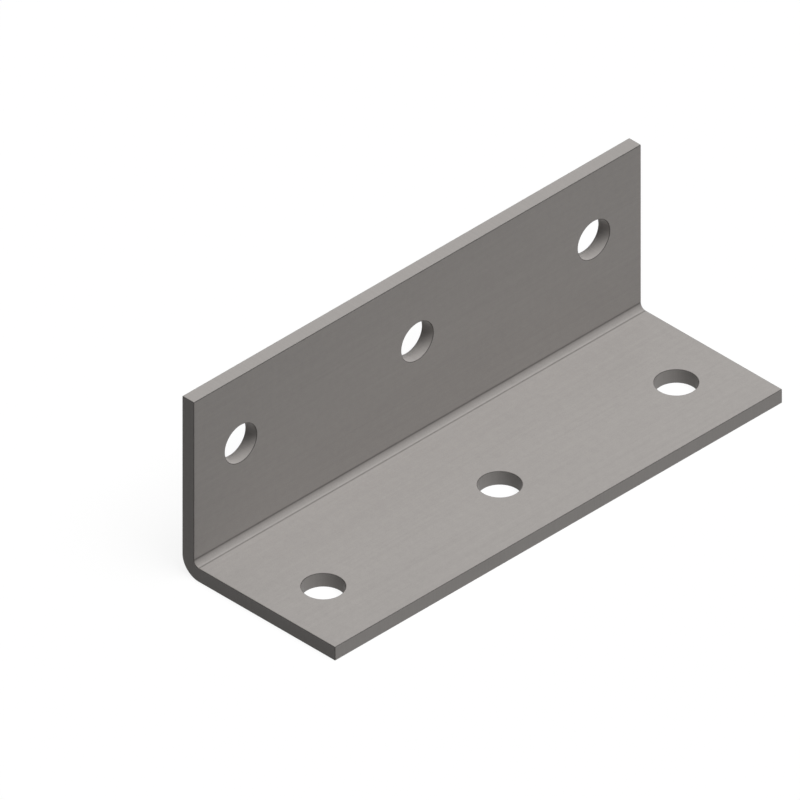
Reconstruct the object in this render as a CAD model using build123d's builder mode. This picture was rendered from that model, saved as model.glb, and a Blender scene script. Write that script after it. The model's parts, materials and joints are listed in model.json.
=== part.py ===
from build123d import *

import os

# Angle cleat: a strip of steel plate, cut to length, punched with a row of bolt holes
# along each half, and folded once to a right angle on a press brake.
#
# The flat leg lies on the XY plane with its underside at Z = 0. The upright leg stands
# at the back, on +Y, and X runs along the fold. The origin is the centre of the flat
# leg's middle bolt hole on the underside, which is where the cleat is bolted down.
# All sizes are in millimetres.

# Plate and fold
PLATE_THICKNESS = 5.0
INSIDE_BEND_RADIUS = 2.0
EDGE_BREAK = 0.2  # the light chamfer left by deburring the cut edges

# Bolt holes: one row along each leg, at the same places along the cleat
BOLT_HOLE_DIAMETER = 13.5  # clearance for an M12 bolt
HOLES_PER_LEG = 3
HOLE_PITCH = 75.0
END_DISTANCE = 20.0  # from the last hole's centre to the cut end

# Flat leg, measured across it from its row of holes
FLAT_BACK_MARK = 40.0  # to the heel's outer face
FLAT_TOE_DISTANCE = 25.0  # to the toe, which is the leg's free edge

# Upright leg, measured up and down it from its row of holes
UPRIGHT_BACK_MARK = 40.0  # down to the flat leg's underside
UPRIGHT_TOP_DISTANCE = 25.0  # up to the top edge

# Sizes and places that follow from the ones above
cleat_length = (HOLES_PER_LEG - 1) * HOLE_PITCH + 2 * END_DISTANCE
hole_radius = BOLT_HOLE_DIAMETER / 2
toe_y = -FLAT_TOE_DISTANCE
upright_inner_y = FLAT_BACK_MARK - PLATE_THICKNESS
top_z = UPRIGHT_BACK_MARK + UPRIGHT_TOP_DISTANCE

# The inner face of each leg, with its origin at the middle of the row of holes. X runs
# along the cleat on both, and the plane's normal points into the open angle.
flat_hole_plane = Plane(
    origin=(0, 0, PLATE_THICKNESS),
    x_dir=(1, 0, 0),
    z_dir=(0, 0, 1),
)
upright_hole_plane = Plane(
    origin=(0, upright_inner_y, UPRIGHT_BACK_MARK),
    x_dir=(1, 0, 0),
    z_dir=(0, -1, 0),
)

with BuildPart() as angle_cleat:
    # The folded section: the line of the inner faces with its bend, thickened outwards.
    # Both sides of the bend are then arcs about one centre, a plate's thickness apart.
    with BuildSketch(Plane.YZ) as folded_section:
        with BuildLine() as inner_faces:
            FilletPolyline(
                (toe_y, PLATE_THICKNESS),
                (upright_inner_y, PLATE_THICKNESS),
                (upright_inner_y, top_z),
                radius=INSIDE_BEND_RADIUS,
            )
            offset(amount=PLATE_THICKNESS, side=Side.RIGHT)
        make_face()
    extrude(amount=cleat_length / 2, both=True)

    # The bolt holes, each one square through its own leg from the inner face
    with Locations(flat_hole_plane, upright_hole_plane):
        with GridLocations(HOLE_PITCH, 0, HOLES_PER_LEG, 1):
            Hole(radius=hole_radius, depth=PLATE_THICKNESS)

    # The deburred edges: the outline of the whole plate and both rims of every hole.
    # The lines where the bend runs into the legs are smooth and have no edge to break.
    long_edges = edges().filter_by(Axis.X)
    toe_edges = long_edges.group_by(Axis.Y)[0]
    top_edges = long_edges.group_by(Axis.Z)[-1]
    left_outline = edges().group_by(Axis.X)[0]
    right_outline = edges().group_by(Axis.X)[-1]
    hole_rims = edges().filter_by(lambda edge: edge.is_closed)
    chamfer(
        toe_edges + top_edges + left_outline + right_outline + hole_rims,
        length=EDGE_BREAK,
    )

angle_cleat.part.label = "angle_cleat"

os.makedirs("parts", exist_ok=True)
export_step(angle_cleat.part, "parts/angle_cleat.step")

cleat_box = angle_cleat.part.bounding_box()
print("box from", cleat_box.min, "to", cleat_box.max)
print("volume in cubic millimetres", round(angle_cleat.part.volume))
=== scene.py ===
# %% [markdown]
# # An angle cleat in dull grey steel
#
# The object is a short steel angle, made from one strip of plate: cut to length,
# punched with three bolt holes along each half, and folded once to a right angle. It
# has no second piece, so everything that makes it look real has to come from its form
# and its finish: the true round of the fold, the small break along every cut edge, the
# walls of the holes, and a surface that is even from a step away and alive close to.
#
# The lesson loads the fixed model, sets the camera, mixes three finishes, grows the
# plate with Geometry Nodes, and then lights it.

# %% Load the model that everything is fitted to
import json
import math

import bmesh
import bpy
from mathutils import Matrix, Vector


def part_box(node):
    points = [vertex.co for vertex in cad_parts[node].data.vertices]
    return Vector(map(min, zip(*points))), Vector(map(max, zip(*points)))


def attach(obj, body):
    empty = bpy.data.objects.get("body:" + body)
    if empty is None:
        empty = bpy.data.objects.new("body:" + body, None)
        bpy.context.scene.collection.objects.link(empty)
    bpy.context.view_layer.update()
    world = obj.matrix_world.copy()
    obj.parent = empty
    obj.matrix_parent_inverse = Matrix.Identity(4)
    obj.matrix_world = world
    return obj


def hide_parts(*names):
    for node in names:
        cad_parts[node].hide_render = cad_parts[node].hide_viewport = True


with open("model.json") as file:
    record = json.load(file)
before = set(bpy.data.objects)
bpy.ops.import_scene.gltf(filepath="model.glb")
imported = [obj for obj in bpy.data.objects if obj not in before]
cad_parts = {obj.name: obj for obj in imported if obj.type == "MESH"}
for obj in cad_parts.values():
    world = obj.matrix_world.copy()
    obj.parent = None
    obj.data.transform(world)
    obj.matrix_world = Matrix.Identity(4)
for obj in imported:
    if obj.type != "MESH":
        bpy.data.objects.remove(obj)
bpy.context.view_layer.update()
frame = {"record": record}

# %% [markdown]
# ## Sizes
#
# The model already holds every size that matters to a bolt, so the sizes are read from
# it and not typed again. Its box gives the length and the reach of each leg. Its
# mounts give the two faces whose distance is the plate's thickness, and the holes: two
# end holes in each leg, and one in the middle between them. The radius inside the fold
# has no mount, so it is written here. Blender works in metres, and MM turns a
# millimetre into metres.

# %% Sizes read from the model
MM = 0.001
INSIDE_BEND_RADIUS = 2.0 * MM

cleat_low, cleat_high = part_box("angle_cleat")
cleat_length = cleat_high.x - cleat_low.x

mounts = {mount["name"]: mount for mount in frame["record"]["mounts"]}
seat_height = mounts["flat_leg_seat"]["pos_m"][2]
washer_height = mounts["flat_leg_washer_face"]["pos_m"][2]
plate_thickness = washer_height - seat_height

end_bolts = mounts["flat_leg_end_bolts"]["dims"]
holes_per_leg = end_bolts["count"] + 1
hole_pitch = end_bolts["spacing_x_mm"] * MM / (holes_per_leg - 1)
hole_radius = end_bolts["hole_r_mm"] * MM
upright_hole_height = mounts["upright_leg_middle_bolt"]["pos_m"][2]

print("length", round(cleat_length, 5), "thickness", plate_thickness)
print(holes_per_leg, "holes in each leg, radius", hole_radius, "pitch", hole_pitch)

# %% [markdown]
# ## Camera
#
# The picture is a true isometric view: the three edges that meet at a corner are drawn
# to one scale, 120 degrees apart, and nothing gets smaller with distance. So the
# camera is orthographic, and looks down the diagonal of a cube from the left, the
# front and above. Such a camera has no lens to choose. It needs the width of what it
# sees, and the point that lands in the middle of the picture.

# %% Camera on the diagonal of a cube
PICTURE_WIDTH = 240.4 * MM
MIDDLE_RIGHT_OF_ORIGIN = -30.0 * MM
MIDDLE_ABOVE_ORIGIN = 29.4 * MM
CAMERA_DISTANCE = 1.0
FARTHEST_SEEN = 10.0

towards_camera = Vector((-1, -1, 1)).normalized()
picture_right = Vector((1, -1, 0)).normalized()
picture_up = towards_camera.cross(picture_right)
picture_middle = picture_right * MIDDLE_RIGHT_OF_ORIGIN + picture_up * MIDDLE_ABOVE_ORIGIN

camera_data = bpy.data.cameras.new("isometric_camera")
camera_data.type = "ORTHO"
camera_data.ortho_scale = PICTURE_WIDTH
camera_data.clip_end = FARTHEST_SEEN
camera = bpy.data.objects.new("isometric_camera", camera_data)
bpy.context.scene.collection.objects.link(camera)
camera.location = picture_middle + towards_camera * CAMERA_DISTANCE
camera.rotation_mode = "QUATERNION"
camera.rotation_quaternion = (-towards_camera).to_track_quat("-Z", "Y")
bpy.context.scene.camera = camera
print("camera at", [round(value, 4) for value in camera.location])

# %% [markdown]
# ## A short way to write node trees
#
# Finishes, floor and plate are all made of nodes, so a few small helpers save pages of
# typing. They work in every kind of tree, because a node is added, filled in and
# linked in the same way in all of them.

# %% Node helpers
def add_node(tree, kind, settings=None, **sockets):
    """Adds a node, sets its own settings, and fills or links the sockets named."""
    node = tree.nodes.new(kind)
    for name, value in (settings or {}).items():
        setattr(node, name, value)
    for name, value in sockets.items():
        plug(tree, value, node.inputs[name.replace("_", " ")])
    return node


def plug(tree, value, socket):
    """Links an output to a socket, or writes a plain value into it."""
    if isinstance(value, bpy.types.NodeSocket):
        tree.links.new(value, socket)
    else:
        socket.default_value = value


def maths(tree, operation, *values):
    """One Math node and its result. The same node serves every kind of tree."""
    node = add_node(tree, "ShaderNodeMath", {"operation": operation})
    for value, socket in zip(values, node.inputs):
        plug(tree, value, socket)
    return node.outputs[0]


# %% [markdown]
# ## Finish
#
# The steel wears a dull, warm grey coat of phosphate, one way to keep such a part from
# rusting in store. From a step away it is perfectly even. Close to, it is fine crystals
# a few tenths of a millimetre across and a faint mottle of about two millimetres. Under
# them are the long faint streaks that the rolling mill left along the plate, and a very
# slow change of tone over a few centimetres.
#
# A picture of steel could be wrapped round the plate, but it would stretch over the
# fold and repeat. Noise is better here: it fills space like marble fills a block, so a
# fold or a hole just cuts through it. Each noise becomes a tone near 1, the tones are
# multiplied together, and the grey is scaled by their product.

# %% Noise as a tone near one
def object_place(tree):
    """Where a point lies on the object itself, in metres."""
    return add_node(tree, "ShaderNodeTexCoord").outputs["Object"]


def noise(tree, place, blob, seed, stretch=(1.0, 1.0, 1.0), detail=2.0):
    """Soft random values around a half, in blobs about this many metres across."""
    squeezed = add_node(tree, "ShaderNodeMapping", Vector=place, Scale=stretch)
    texture = add_node(
        tree,
        "ShaderNodeTexNoise",
        {"noise_dimensions": "4D"},
        Vector=squeezed.outputs["Vector"],
        W=seed,
        Scale=1.0 / blob,
        Detail=detail,
    )
    return texture.outputs[0]


def tone(tree, value, swing):
    """Turns a value from 0 to 1 into a tone from 1 - swing to 1 + swing."""
    return maths(tree, "MULTIPLY_ADD", value, 2.0 * swing, 1.0 - swing)


def darkened(tree, amount, darkening):
    """Turns an amount from 0 to 1 into a tone from 1 down to 1 - darkening."""
    return maths(tree, "MULTIPLY_ADD", amount, -darkening, 1.0)


def product(tree, tones):
    """All the tones multiplied together."""
    result = tones[0]
    for other in tones[1:]:
        result = maths(tree, "MULTIPLY", result, other)
    return result


# %% A steel material from its tone, its roughness and its relief
SPECULAR_LEVEL = 0.2


def steel_material(name, grey, build):
    """Makes a material. build(tree, place) gives its tone, roughness and relief height."""
    material = bpy.data.materials.new(name)
    material.use_nodes = True
    tree = material.node_tree
    shader = tree.nodes["Principled BSDF"]
    shader.inputs["Specular IOR Level"].default_value = SPECULAR_LEVEL
    surface_tone, roughness, height = build(tree, object_place(tree))
    colour = add_node(tree, "ShaderNodeVectorMath", {"operation": "SCALE"}, Scale=surface_tone)
    colour.inputs[0].default_value = grey
    relief = add_node(tree, "ShaderNodeBump", Strength=1.0, Distance=1.0, Height=height)
    tree.links.new(colour.outputs["Vector"], shader.inputs["Base Color"])
    tree.links.new(roughness, shader.inputs["Roughness"])
    tree.links.new(relief.outputs["Normal"], shader.inputs["Normal"])
    return material


print("specular level of every finish:", SPECULAR_LEVEL)

# %% [markdown]
# ## The marks of the fold, and painted shade near it
#
# A press brake bends the plate over the nose of a punch. Where the nose ends and the
# straight legs begin, it presses two fine lines into the inner faces, and the coat
# looks darker there. They could be cut into the mesh, but they are a hundredth of a
# millimetre deep, which only the light notices, so the finish draws them. They run
# along the whole cleat, and a point is on a line if its place, with X left out, is
# close to one spot of the section.
#
# Between the two lines the coat is painted a little darker, from the upper line down to near
# the lower one. This is painted shade over the round of the fold. How far round the fold a
# point lies is the angle that it makes about the fold's centre.
#
# The two legs throw light on each other near the fold, yet the picture shows them even right up
# to it. So painted shade makes the coat a trace darker along both legs towards the fold, to
# cancel that light. None of this reaches the outer faces: the lines are too narrow, and one
# test by place keeps the rest off them.

# %% Lines where the punch nose ended
inner_face_y = cleat_high.y - plate_thickness
fold_centre = (0.0, inner_face_y - INSIDE_BEND_RADIUS, plate_thickness + INSIDE_BEND_RADIUS)
upper_line = (0.0, inner_face_y, plate_thickness + INSIDE_BEND_RADIUS)
lower_line = (0.0, inner_face_y - INSIDE_BEND_RADIUS, plate_thickness)
for spot in (upper_line, lower_line):
    print("a line of the fold is at", [round(value, 4) for value in spot])


def near_line(tree, place, line, half_width):
    """1 on a line along X, falling smoothly to 0 at half_width from it."""
    section = add_node(tree, "ShaderNodeVectorMath", {"operation": "MULTIPLY"})
    plug(tree, place, section.inputs[0])
    section.inputs[1].default_value = (0.0, 1.0, 1.0)
    away = add_node(tree, "ShaderNodeVectorMath", {"operation": "DISTANCE"})
    plug(tree, section.outputs["Vector"], away.inputs[0])
    away.inputs[1].default_value = line
    fall = add_node(
        tree,
        "ShaderNodeMapRange",
        {"interpolation_type": "SMOOTHSTEP"},
        Value=away.outputs["Value"],
        From_Max=half_width,
        To_Min=1.0,
        To_Max=0.0,
    )
    return fall.outputs["Result"]


# %% The inner faces, and how near the corner a point of them lies
INNER_FACE_SKIN = 1.0 * MM
CORNER_REACH = 35.0 * MM


def on_inner_faces(tree, place):
    """1 on both inner faces and inside the fold, 0 on the outer faces."""
    split = add_node(tree, "ShaderNodeSeparateXYZ", Vector=place)
    y = split.outputs["Y"]
    z = split.outputs["Z"]
    before_heel = maths(tree, "LESS_THAN", y, inner_face_y + INNER_FACE_SKIN)
    above_seat = maths(tree, "GREATER_THAN", z, plate_thickness - INNER_FACE_SKIN)
    return maths(tree, "MULTIPLY", before_heel, above_seat)


def painted_shade_towards_fold(tree, place):
    """How much painted shade lies on a point: 1 at the fold, falling slowly to 0 along both
    inner faces.
    """
    near_fold = near_line(tree, place, fold_centre, CORNER_REACH)
    return maths(tree, "MULTIPLY", near_fold, on_inner_faces(tree, place))


# The coat's deepening towards the fold is painted shade.
print("the coat deepens over the last", round(CORNER_REACH / MM), "mm before the fold")

# %% How strongly painted shade darkens the inside of the fold
FOLD_SHADE_STARTS_TO_FADE = 0.6
FOLD_SHADE_ENDS = 0.95


def painted_fold_shade(tree, place):
    """Painted shade: 1 inside the fold, fading to 0 towards the lower line, and 0 on the rest.
    """
    from_centre = add_node(tree, "ShaderNodeVectorMath", {"operation": "SUBTRACT"})
    plug(tree, place, from_centre.inputs[0])
    from_centre.inputs[1].default_value = fold_centre
    split = add_node(tree, "ShaderNodeSeparateXYZ", Vector=from_centre.outputs["Vector"])
    back = split.outputs["Y"]
    down = maths(tree, "MULTIPLY", split.outputs["Z"], -1.0)
    on_back_side = maths(tree, "GREATER_THAN", back, 0.0)
    on_low_side = maths(tree, "GREATER_THAN", down, 0.0)
    inside = on_inner_faces(tree, place)
    way_round = maths(tree, "DIVIDE", maths(tree, "ARCTAN2", down, back), math.pi / 2)
    fade = add_node(
        tree,
        "ShaderNodeMapRange",
        {"interpolation_type": "SMOOTHSTEP"},
        Value=way_round,
        From_Min=FOLD_SHADE_STARTS_TO_FADE,
        From_Max=FOLD_SHADE_ENDS,
        To_Min=1.0,
        To_Max=0.0,
    )
    return product(tree, [on_back_side, on_low_side, inside, fade.outputs["Result"]])


# The fade printed here is the fade of the painted shade inside the fold.
print("the rub fades from", FOLD_SHADE_STARTS_TO_FADE, "to", FOLD_SHADE_ENDS, "of the way round the fold")

# %% The coat on the rolled faces
PLATE_GREY = (0.376, 0.356, 0.342)
CRYSTAL = 0.35 * MM
CRYSTAL_SWING = 0.12
CRYSTAL_HEIGHT = 0.003 * MM
MOTTLE = 2.2 * MM
MOTTLE_SWING = 0.05
STREAK_WIDTH = 0.8 * MM
STREAK_STRETCH = (0.012, 1.0, 1.0)  # along X, a streak is some 80 times as long as it is wide
STREAK_SWING = 0.06
CLOUD = 28.0 * MM
CLOUD_SWING = 0.02
UPPER_LINE_HALF_WIDTH = 0.6 * MM
LOWER_LINE_HALF_WIDTH = 0.5 * MM
LINE_DEPTH = 0.012 * MM
LINE_DARKENING = 0.42
FOLD_PAINTED_SHADE = 0.18
CORNER_PAINTED_SHADE = 0.075
COAT_ROUGHNESS = 0.46
COAT_ROUGHNESS_RISE = 0.16


def rolled_face(tree, place):
    """Tone, roughness and height of the coat, with the marks of the fold and painted shade near
    it.
    """
    crystals = noise(tree, place, CRYSTAL, seed=1.0)
    streaks = noise(tree, place, STREAK_WIDTH, seed=2.0, stretch=STREAK_STRETCH)
    clouds = noise(tree, place, CLOUD, seed=3.0)
    mottle = noise(tree, place, MOTTLE, seed=7.0)
    upper = near_line(tree, place, upper_line, UPPER_LINE_HALF_WIDTH)
    lower = near_line(tree, place, lower_line, LOWER_LINE_HALF_WIDTH)
    lines = maths(tree, "MAXIMUM", upper, lower)
    surface_tone = product(
        tree,
        [
            tone(tree, crystals, CRYSTAL_SWING),
            tone(tree, mottle, MOTTLE_SWING),
            tone(tree, streaks, STREAK_SWING),
            tone(tree, clouds, CLOUD_SWING),
            # painted shade, darker along both legs towards the fold
            darkened(tree, painted_shade_towards_fold(tree, place), CORNER_PAINTED_SHADE),
            # painted shade, darker inside the round of the fold
            darkened(tree, painted_fold_shade(tree, place), FOLD_PAINTED_SHADE),
            darkened(tree, lines, LINE_DARKENING),
        ],
    )
    roughness = maths(tree, "MULTIPLY_ADD", crystals, COAT_ROUGHNESS_RISE, COAT_ROUGHNESS)
    grain_height = maths(tree, "MULTIPLY", crystals, CRYSTAL_HEIGHT)
    height = maths(tree, "MULTIPLY_ADD", lines, -LINE_DEPTH, grain_height)
    return surface_tone, roughness, height


plate_coat = steel_material("plate_coat", PLATE_GREY, rolled_face)
print("nodes in the coat:", len(plate_coat.node_tree.nodes))

# %% [markdown]
# ## The cut faces
#
# The shear that cut the strip and the punches that made the holes slid through the
# plate from face to face, so what they left are fine scratches straight across its
# thickness. On the flat leg that is along Z, and on the upright it is along Y. Leaving
# that direction out of the noise's place draws each scratch from one face to the
# other. One switch, by height, picks the direction for each leg, and it serves the
# ends, the long edges and the walls of the holes alike.

# %% Scratches across the thickness
SCRATCH_WIDTH = 0.3 * MM
SCRATCH_SWING = 0.10
SCRATCH_HEIGHT = 0.006 * MM
CUT_CRYSTAL_SWING = 0.04
CUT_ROUGHNESS = 0.42
CUT_ROUGHNESS_RISE = 0.2

upright_starts = plate_thickness + INSIDE_BEND_RADIUS


def cut_face(tree, place):
    """Tone, roughness and height of a sheared or punched face."""
    split = add_node(tree, "ShaderNodeSeparateXYZ", Vector=place)
    x, y, z = split.outputs
    on_upright = maths(tree, "GREATER_THAN", z, upright_starts)
    along_leg = add_node(tree, "ShaderNodeMix", {"data_type": "FLOAT"})
    # A Mix node has sockets for every kind of data, and these three take plain numbers.
    factor, value_on_flat, value_on_upright = (along_leg.inputs[index] for index in (0, 2, 3))
    plug(tree, on_upright, factor)
    plug(tree, y, value_on_flat)
    plug(tree, z, value_on_upright)
    across = add_node(tree, "ShaderNodeCombineXYZ", X=x, Y=along_leg.outputs[0])
    scratches = noise(tree, across.outputs["Vector"], SCRATCH_WIDTH, seed=4.0, detail=3.0)
    crystals = noise(tree, place, CRYSTAL, seed=5.0)
    surface_tone = product(
        tree,
        [
            tone(tree, scratches, SCRATCH_SWING),
            tone(tree, crystals, CUT_CRYSTAL_SWING),
        ],
    )
    roughness = maths(tree, "MULTIPLY_ADD", scratches, CUT_ROUGHNESS_RISE, CUT_ROUGHNESS)
    height = maths(tree, "MULTIPLY", scratches, SCRATCH_HEIGHT)
    return surface_tone, roughness, height


cut_steel = steel_material("cut_steel", PLATE_GREY, cut_face)
print("scratches turn with the leg at a height of", upright_starts)

# %% [markdown]
# ## The broken edges
#
# The sharp edge that cutting leaves is knocked off with a file, a fifth of a millimetre
# in from each side, so a narrow slanted face runs round every outline and every hole.
# The coat is thin there and the dark steel shows, which draws a fine dark line round
# the whole part. The line could be painted on by place, but one modifier will make the
# slanted faces themselves, and this finish is what it puts on them.

# %% Dark steel on the edges
EDGE_TONE = 0.35
FILE_MARK = 0.5 * MM
FILE_MARK_SWING = 0.12
FILE_MARK_HEIGHT = 0.004 * MM
EDGE_ROUGHNESS = 0.4
EDGE_ROUGHNESS_RISE = 0.2

edge_grey = [channel * EDGE_TONE for channel in PLATE_GREY]


def filed_edge(tree, place):
    """Tone, roughness and height of an edge broken with a file."""
    marks = noise(tree, place, FILE_MARK, seed=6.0, detail=3.0)
    surface_tone = tone(tree, marks, FILE_MARK_SWING)
    roughness = maths(tree, "MULTIPLY_ADD", marks, EDGE_ROUGHNESS_RISE, EDGE_ROUGHNESS)
    height = maths(tree, "MULTIPLY", marks, FILE_MARK_HEIGHT)
    return surface_tone, roughness, height


broken_edge = steel_material("broken_edge", edge_grey, filed_edge)
print("finishes:", [material.name for material in (plate_coat, cut_steel, broken_edge)])

# %% [markdown]
# ## The plate, folded and punched by Geometry Nodes
#
# The real cleat is a flat strip that is bent along one line. Two boxes joined and
# rounded would look like it, but then two radii would have to be matched by hand. A
# sweep says what was done: the path is the middle of the sheet seen from its end, an L
# with its corner rounded, and the profile that runs along it is the sheet's own cut
# end. The inside and the outside of the fold come out as arcs about one centre, as
# they do on a press brake.
#
# The path is the only thing given as points, and it needs three points: the toe, the corner and
# the top of the sheet's middle line. Everything else is a size.

# %% The path: toe, corner and top of the sheet's middle line
half_thickness = plate_thickness / 2
heel_middle_y = cleat_high.y - half_thickness
path_points = [
    (0.0, cleat_low.y, half_thickness),
    (0.0, heel_middle_y, half_thickness),
    (0.0, heel_middle_y, cleat_high.z),
]
path_mesh = bpy.data.meshes.new("fold_path")
path_mesh.from_pydata(path_points, [(0, 1), (1, 2)], [])
plate = bpy.data.objects.new("folded_plate", path_mesh)
bpy.context.scene.collection.objects.link(plate)
print("path, metres:", [[round(value, 5) for value in point] for point in path_points])

# %% Named inputs of the tree, each with its kind of socket and its value
BEND_STEPS = 24
HOLE_SIDES = 96

INPUTS = {
    "Cleat Length": ("NodeSocketFloat", cleat_length),
    "Plate Thickness": ("NodeSocketFloat", plate_thickness),
    "Bend Radius": ("NodeSocketFloat", INSIDE_BEND_RADIUS + half_thickness),
    "Bend Steps": ("NodeSocketInt", BEND_STEPS),
    "Hole Radius": ("NodeSocketFloat", hole_radius),
    "Hole Sides": ("NodeSocketInt", HOLE_SIDES),
    "Hole Pitch": ("NodeSocketFloat", hole_pitch),
    "Holes Per Leg": ("NodeSocketInt", holes_per_leg),
    "Flat Row Centre": ("NodeSocketVector", (0.0, 0.0, half_thickness)),
    "Upright Row Centre": ("NodeSocketVector", (0.0, heel_middle_y, upright_hole_height)),
    "Plate Finish": ("NodeSocketMaterial", plate_coat),
    "Cut Finish": ("NodeSocketMaterial", cut_steel),
}

plate_tree = bpy.data.node_groups.new("fold_and_punch", "GeometryNodeTree")
plate_tree.interface.new_socket("Geometry", in_out="INPUT", socket_type="NodeSocketGeometry")
plate_tree.interface.new_socket("Geometry", in_out="OUTPUT", socket_type="NodeSocketGeometry")
for name, (kind, value) in INPUTS.items():
    plate_tree.interface.new_socket(name, in_out="INPUT", socket_type=kind)
given = plate_tree.nodes.new("NodeGroupInput").outputs
result = plate_tree.nodes.new("NodeGroupOutput")
print("inputs of the tree:", list(INPUTS))

# %% Fold: round the corner of the L, and sweep the cut end along it
path = add_node(plate_tree, "GeometryNodeMeshToCurve", Mesh=given["Geometry"])
fold = add_node(
    plate_tree,
    "GeometryNodeFilletCurve",
    {"mode": "POLY"},
    Curve=path.outputs["Curve"],
    Count=given["Bend Steps"],
    Radius=given["Bend Radius"],
)
cut_end = add_node(
    plate_tree,
    "GeometryNodeCurvePrimitiveQuadrilateral",
    Width=given["Cleat Length"],
    Height=given["Plate Thickness"],
)
sheet = add_node(
    plate_tree,
    "GeometryNodeCurveToMesh",
    Curve=fold.outputs["Curve"],
    Profile_Curve=cut_end.outputs["Curve"],
    Fill_Caps=True,
)
coated_sheet = add_node(
    plate_tree,
    "GeometryNodeSetMaterial",
    Geometry=sheet.outputs["Mesh"],
    Material=given["Plate Finish"],
)
print("nodes after the fold:", len(plate_tree.nodes))

# %% [markdown]
# ## The row of punches
#
# Both legs have the same row of holes, so the row is made once: one round punch, put
# on the points of a line. A copy of the row lies on the flat leg, and a second copy is
# turned a quarter of a turn about X to go through the upright. The punches are longer
# than the plate is thick, so that each one comes out cleanly on both sides.

# %% The points that the punches stand on
gaps_per_row = maths(plate_tree, "SUBTRACT", given["Holes Per Leg"], 1.0)
row_length = maths(plate_tree, "MULTIPLY", given["Hole Pitch"], gaps_per_row)
half_back = maths(plate_tree, "MULTIPLY", row_length, -0.5)
row_start = add_node(plate_tree, "ShaderNodeCombineXYZ", X=half_back)
row_step = add_node(plate_tree, "ShaderNodeCombineXYZ", X=given["Hole Pitch"])
row = add_node(
    plate_tree,
    "GeometryNodeMeshLine",
    Count=given["Holes Per Leg"],
    Start_Location=row_start.outputs["Vector"],
    Offset=row_step.outputs["Vector"],
)
print("nodes after the points:", len(plate_tree.nodes))

# %% One row of punches, set down on both legs
PUNCH_LENGTH_IN_THICKNESSES = 2.0

punch = add_node(
    plate_tree,
    "GeometryNodeMeshCylinder",
    Vertices=given["Hole Sides"],
    Radius=given["Hole Radius"],
    Depth=maths(plate_tree, "MULTIPLY", given["Plate Thickness"], PUNCH_LENGTH_IN_THICKNESSES),
)
punches = add_node(
    plate_tree,
    "GeometryNodeInstanceOnPoints",
    Points=row.outputs["Mesh"],
    Instance=punch.outputs["Mesh"],
)
flat_row = add_node(
    plate_tree,
    "GeometryNodeTransform",
    Geometry=punches.outputs["Instances"],
    Translation=given["Flat Row Centre"],
)
upright_row = add_node(
    plate_tree,
    "GeometryNodeTransform",
    Geometry=punches.outputs["Instances"],
    Translation=given["Upright Row Centre"],
    Rotation=(math.pi / 2, 0.0, 0.0),
)
both_rows = plate_tree.nodes.new("GeometryNodeJoinGeometry")
for leg_row in (flat_row, upright_row):
    plate_tree.links.new(leg_row.outputs["Geometry"], both_rows.inputs["Geometry"])
print("nodes after the rows:", len(plate_tree.nodes))

# %% Punch both rows through the sheet
cutting_punches = add_node(
    plate_tree,
    "GeometryNodeSetMaterial",
    Geometry=both_rows.outputs["Geometry"],
    Material=given["Cut Finish"],
)
punched = add_node(
    plate_tree,
    "GeometryNodeMeshBoolean",
    {"operation": "DIFFERENCE", "solver": "EXACT"},
)
plate_tree.links.new(coated_sheet.outputs["Geometry"], punched.inputs["Mesh 1"])
plate_tree.links.new(cutting_punches.outputs["Geometry"], punched.inputs["Mesh 2"])
print("nodes after the punch:", len(plate_tree.nodes))

# %% [markdown]
# ## Which faces were cut
#
# The walls of the holes already have the cut finish, because the punches brought it
# with them. What is left are the two sheared ends, the toe and the top edge. They have
# one thing in common: the middle of each of their faces lies on one of four sides of
# the box round the plate. The two sides left out, the heel and the underside, are
# rolled faces.
#
# Realize Instances comes just before this last choice of finish, as in any tree that
# copies pieces, because an export drops what is still only a copy of another mesh. The
# Boolean has left no such copies here, so the node only makes sure of it.

# %% Choose the cut faces by the box round the plate
ON_SIDE = 0.01 * MM

box = add_node(plate_tree, "GeometryNodeBoundBox", Geometry=punched.outputs["Mesh"])
face_middle = add_node(
    plate_tree,
    "ShaderNodeSeparateXYZ",
    Vector=plate_tree.nodes.new("GeometryNodeInputPosition").outputs["Position"],
).outputs
low_side = add_node(plate_tree, "ShaderNodeSeparateXYZ", Vector=box.outputs["Min"]).outputs
high_side = add_node(plate_tree, "ShaderNodeSeparateXYZ", Vector=box.outputs["Max"]).outputs


def lies_on(side, axis):
    """1 where the face's middle lies on this side of the box, along this axis."""
    return maths(plate_tree, "COMPARE", face_middle[axis], side[axis], ON_SIDE)


was_cut = lies_on(low_side, "X")
for side, axis in ((high_side, "X"), (low_side, "Y"), (high_side, "Z")):
    was_cut = maths(plate_tree, "MAXIMUM", was_cut, lies_on(side, axis))

smooth = add_node(plate_tree, "GeometryNodeSetShadeSmooth", Geometry=punched.outputs["Mesh"])
realized = add_node(
    plate_tree,
    "GeometryNodeRealizeInstances",
    Geometry=smooth.outputs["Geometry"],
)
finished = add_node(
    plate_tree,
    "GeometryNodeSetMaterial",
    Geometry=realized.outputs["Geometry"],
    Selection=was_cut,
    Material=given["Cut Finish"],
)
plate_tree.links.new(finished.outputs["Geometry"], result.inputs["Geometry"])
print("nodes in the whole tree:", len(plate_tree.nodes))

# %% [markdown]
# ## Fold and punch
#
# The tree runs as a modifier on the path. Its inputs are set by their identifiers,
# because two inputs may share a name, and before anything is evaluated. What the
# modifier makes then becomes a plain mesh, which any of the tools can work on.

# %% Run the tree
def make_plain(piece):
    """Turns what a piece's modifiers make of it into its own mesh, and drops them."""
    bpy.context.view_layer.update()
    graph = bpy.context.evaluated_depsgraph_get()
    mesh = bpy.data.meshes.new_from_object(
        piece.evaluated_get(graph),
        preserve_all_data_layers=True,
        depsgraph=graph,
    )
    piece.modifiers.clear()
    piece.data = mesh
    mesh.name = piece.name


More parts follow.
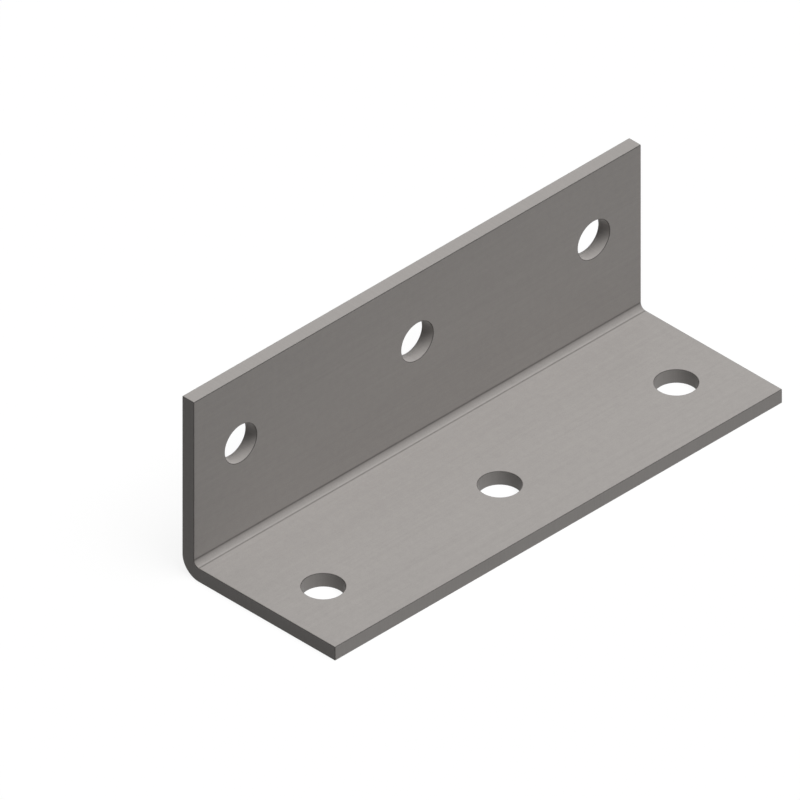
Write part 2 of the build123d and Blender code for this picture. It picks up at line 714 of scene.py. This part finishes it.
nodes_modifier = plate.modifiers.new("fold_and_punch", "NODES")
nodes_modifier.node_group = plate_tree
for item in plate_tree.interface.items_tree:
    if item.in_out == "INPUT" and item.name in INPUTS:
        nodes_modifier[item.identifier] = INPUTS[item.name][1]
make_plain(plate)
print("punched plate:", len(plate.data.vertices), "corners,", len(plate.data.polygons), "faces")

# %% [markdown]
# ## Points that the cut left over
#
# The Boolean splits faces into triangles to cut them, and joins these again after. But
# a face can't go all round a hole, so a narrow strip is kept between two holes, and
# one corner at each of its ends lies part of the way along a side of the rim, where the
# plate has no corner. Such a point gives itself away, because the wall of the hole has
# a straight corner there. Each is welded to the true corner beyond it, the farther of
# the two, and every rim has its even sides again.

# %% Weld the points that lie part of the way along a side
STRAIGHT = math.radians(179.9)

rims = bmesh.new()
rims.from_mesh(plate.data)
welds = {}
for face in rims.faces:
    for corner in face.loops:
        if corner.calc_angle() > STRAIGHT:
            beside = [corner.link_loop_prev.vert, corner.link_loop_next.vert]
            welds[corner.vert] = max(beside, key=lambda end: (end.co - corner.vert.co).length)
bmesh.ops.weld_verts(rims, targetmap=welds)
rims.to_mesh(plate.data)
rims.free()
print("points welded:", len(welds))

# %% [markdown]
# ## Deburr
#
# Two modifiers finish the plate. Bevel breaks every edge sharper than 60 degrees,
# which is every cut edge and no step of the fold, and puts the third finish on it.
# Bevel knows a finish only by its place in the plate's list, so the third one is put
# at the end of that list first. Weighted Normal then lets the large faces win at each
# corner, so the flat legs shade flat up to their edges and only the fold and the small
# bevels look round.

# %% Broken edges and even shading
EDGE_BREAK = 0.2 * MM
SHARPEST_KEPT_ANGLE = math.radians(60)
EDGE_SEGMENTS = 2

plate.data.materials.append(broken_edge)
deburr = plate.modifiers.new("deburr", "BEVEL")
deburr.width = EDGE_BREAK
deburr.segments = EDGE_SEGMENTS
deburr.limit_method = "ANGLE"
deburr.angle_limit = SHARPEST_KEPT_ANGLE
deburr.use_clamp_overlap = False
deburr.material = len(plate.data.materials) - 1
even_faces = plate.modifiers.new("even_faces", "WEIGHTED_NORMAL")
even_faces.keep_sharp = True
make_plain(plate)
print("finishes on the plate:", [material.name for material in plate.data.materials])

# %% Measure the plate
measured = bmesh.new()
measured.from_mesh(plate.data)
open_edges = sum(not edge.is_manifold for edge in measured.edges)
volume_in_cubic_mm = measured.calc_volume(signed=True) / MM**3
print("faces", len(measured.faces), "open edges", open_edges)
print("volume in cubic millimetres", round(volume_in_cubic_mm))
for slot, material in enumerate(plate.data.materials):
    area = sum(face.calc_area() for face in measured.faces if face.material_index == slot)
    print(material.name, "covers", round(area / MM**2), "square millimetres")
measured.free()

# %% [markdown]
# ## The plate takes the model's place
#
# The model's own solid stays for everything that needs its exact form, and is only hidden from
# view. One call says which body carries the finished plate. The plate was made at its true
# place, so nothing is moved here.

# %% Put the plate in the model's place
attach(plate, "root")
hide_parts("angle_cleat")
print(plate.name, "stands at", list(plate.location))

# %% [markdown]
# ## Floor and backdrop
#
# The picture has a pure white ground. A white floor would throw so much light back
# that the shaded end of the cleat could never be as dark as it is, so the floor does
# two jobs by the kind of ray that meets it. A ray from the camera, or one mirrored in
# the steel, finds white paper, most of it glowing so that it stays white and the rest
# plain, so that it still takes the cleat's soft shadow. Light that only feels its way
# round the scene finds a dark grey card. From below the floor is clear, so that the
# underside can be looked at.
#
# Paper under the flat leg would throw back what falls on it through the bolt holes. So
# right under the cleat the card is a lighter grey, which reaches only the walls of the
# holes, the underside and the foot of the heel.

# %% Rays that see the backdrop
def seen_rays(tree):
    """1 for a ray from the camera, in a reflection or through glass, else 0."""
    kinds = add_node(tree, "ShaderNodeLightPath").outputs
    mirrored = maths(tree, "MAXIMUM", kinds["Is Camera Ray"], kinds["Is Glossy Ray"])
    return maths(tree, "MAXIMUM", mirrored, kinds["Is Transmission Ray"])


def mix_shaders(tree, factor, first, second):
    """A Mix Shader node's result."""
    node = tree.nodes.new("ShaderNodeMixShader")
    for value, socket in zip((factor, first, second), node.inputs):
        plug(tree, value, socket)
    return node.outputs[0]


# %% The floor right under the cleat
def right_under_cleat(tree):
    """1 on the floor that the cleat covers, seen from above, and 0 around it."""
    split = add_node(tree, "ShaderNodeSeparateXYZ", Vector=object_place(tree))
    x = split.outputs["X"]
    y = split.outputs["Y"]
    return product(
        tree,
        [
            maths(tree, "GREATER_THAN", x, cleat_low.x),
            maths(tree, "LESS_THAN", x, cleat_high.x),
            maths(tree, "GREATER_THAN", y, cleat_low.y),
            maths(tree, "LESS_THAN", y, cleat_high.y),
        ],
    )


# %% White paper for rays that see it, and grey card for the rest
GLOWING_SHARE = 0.88
GLOW = 1.01
CARD_GREY = 0.125
CARD_GREY_UNDER_CLEAT = 0.22
WHITE = (1.0, 1.0, 1.0, 1.0)

floor_finish = bpy.data.materials.new("paper_floor")
floor_finish.use_nodes = True
floor_tree = floor_finish.node_tree
floor_tree.nodes.clear()
paper = add_node(floor_tree, "ShaderNodeBsdfDiffuse", Color=WHITE).outputs[0]
glow = add_node(floor_tree, "ShaderNodeEmission", Color=WHITE, Strength=GLOW).outputs[0]
card_grey = maths(
    floor_tree,
    "MULTIPLY_ADD",
    right_under_cleat(floor_tree),
    CARD_GREY_UNDER_CLEAT - CARD_GREY,
    CARD_GREY,
)
card = add_node(floor_tree, "ShaderNodeEmission", Color=WHITE, Strength=card_grey).outputs[0]
clear = add_node(floor_tree, "ShaderNodeBsdfTransparent").outputs[0]
white_paper = mix_shaders(floor_tree, GLOWING_SHARE, paper, glow)
from_above = mix_shaders(floor_tree, seen_rays(floor_tree), card, white_paper)
from_below = add_node(floor_tree, "ShaderNodeNewGeometry").outputs["Backfacing"]
floor_surface = mix_shaders(floor_tree, from_below, from_above, clear)
floor_output = add_node(floor_tree, "ShaderNodeOutputMaterial")
floor_tree.links.new(floor_surface, floor_output.inputs["Surface"])
print("nodes in the floor's finish:", len(floor_tree.nodes))

# %% Floor
FLOOR_HALF_WIDTH = 3.0
FLOOR_DROP = 0.02 * MM  # keeps the floor and the underside out of one plane

floor_corners = [
    (side_x * FLOOR_HALF_WIDTH, side_y * FLOOR_HALF_WIDTH, -FLOOR_DROP)
    for side_x, side_y in ((-1, -1), (1, -1), (1, 1), (-1, 1))
]
floor_mesh = bpy.data.meshes.new("floor")
floor_mesh.from_pydata(floor_corners, [], [(0, 1, 2, 3)])
floor_mesh.materials.append(floor_finish)
floor = bpy.data.objects.new("floor", floor_mesh)
bpy.context.scene.collection.objects.link(floor)
print("floor", 2 * FLOOR_HALF_WIDTH, "metres wide, at a height of", floor_corners[0][2])

# %% [markdown]
# ## Light
#
# The faces give the light away. The flat leg is as light as its own colour, the
# upright, turned to the front, has half of that, and the left end a fifth. So one
# large soft lamp hangs almost overhead and a little to the front, square to the
# length of the cleat, and only a dim sky and the floor card reach the end. A second
# lamp, low behind, touches nothing that faces the camera, and keeps the heel and the
# right end from going black when the cleat is seen from behind. It lies on the
# horizon, so the floor hides half of it, and it is kept out of reflections, so that it
# draws no bright patch on the flat leg.
#
# A sun lamp's strength is the light on a square metre that faces it, and a matt face
# sends back a share of 1 / pi of that towards each eye. So a strength of pi shows a
# surface that faces the lamp in exactly its own colour. Blender's first choice of view
# transform then bends colours as film does, and Standard leaves them as written.

# %% Lamps
def soft_lamp(name, towards_lamp, strength, width_in_degrees):
    """A sun lamp that shines from this direction, as wide in the sky as given."""
    lamp_data = bpy.data.lights.new(name, "SUN")
    lamp_data.energy = strength * math.pi
    lamp_data.angle = math.radians(width_in_degrees)
    lamp = bpy.data.objects.new(name, lamp_data)
    lamp.rotation_mode = "QUATERNION"
    lamp.rotation_quaternion = Vector(towards_lamp).to_track_quat("Z", "Y")
    bpy.context.scene.collection.objects.link(lamp)
    return lamp


overhead = soft_lamp(
    "overhead",
    towards_lamp=(0.04, -0.35, 0.936),
    strength=0.963,
    width_in_degrees=40,
)
low_behind = soft_lamp(
    "low_behind",
    towards_lamp=(0.65, 0.75, 0.0),
    strength=0.75,
    width_in_degrees=6,
)
low_behind.visible_glossy = False
for lamp in (overhead, low_behind):
    print("lamp", lamp.name, "strength", round(lamp.data.energy, 3))

# %% Sky
SKY_LIGHT = 0.045

world = bpy.data.worlds.new("white_backdrop")
bpy.context.scene.world = world
world.use_nodes = True
sky_tree = world.node_tree
dimmed = maths(sky_tree, "MULTIPLY_ADD", seen_rays(sky_tree), 1.0 - SKY_LIGHT, SKY_LIGHT)
background = sky_tree.nodes["Background"]
background.inputs["Color"].default_value = WHITE
sky_tree.links.new(dimmed, background.inputs["Strength"])
print("sky light", SKY_LIGHT, "of white")

# %% Plain colours in the picture
bpy.context.scene.view_settings.view_transform = "Standard"
print("view transform", bpy.context.scene.view_settings.view_transform)
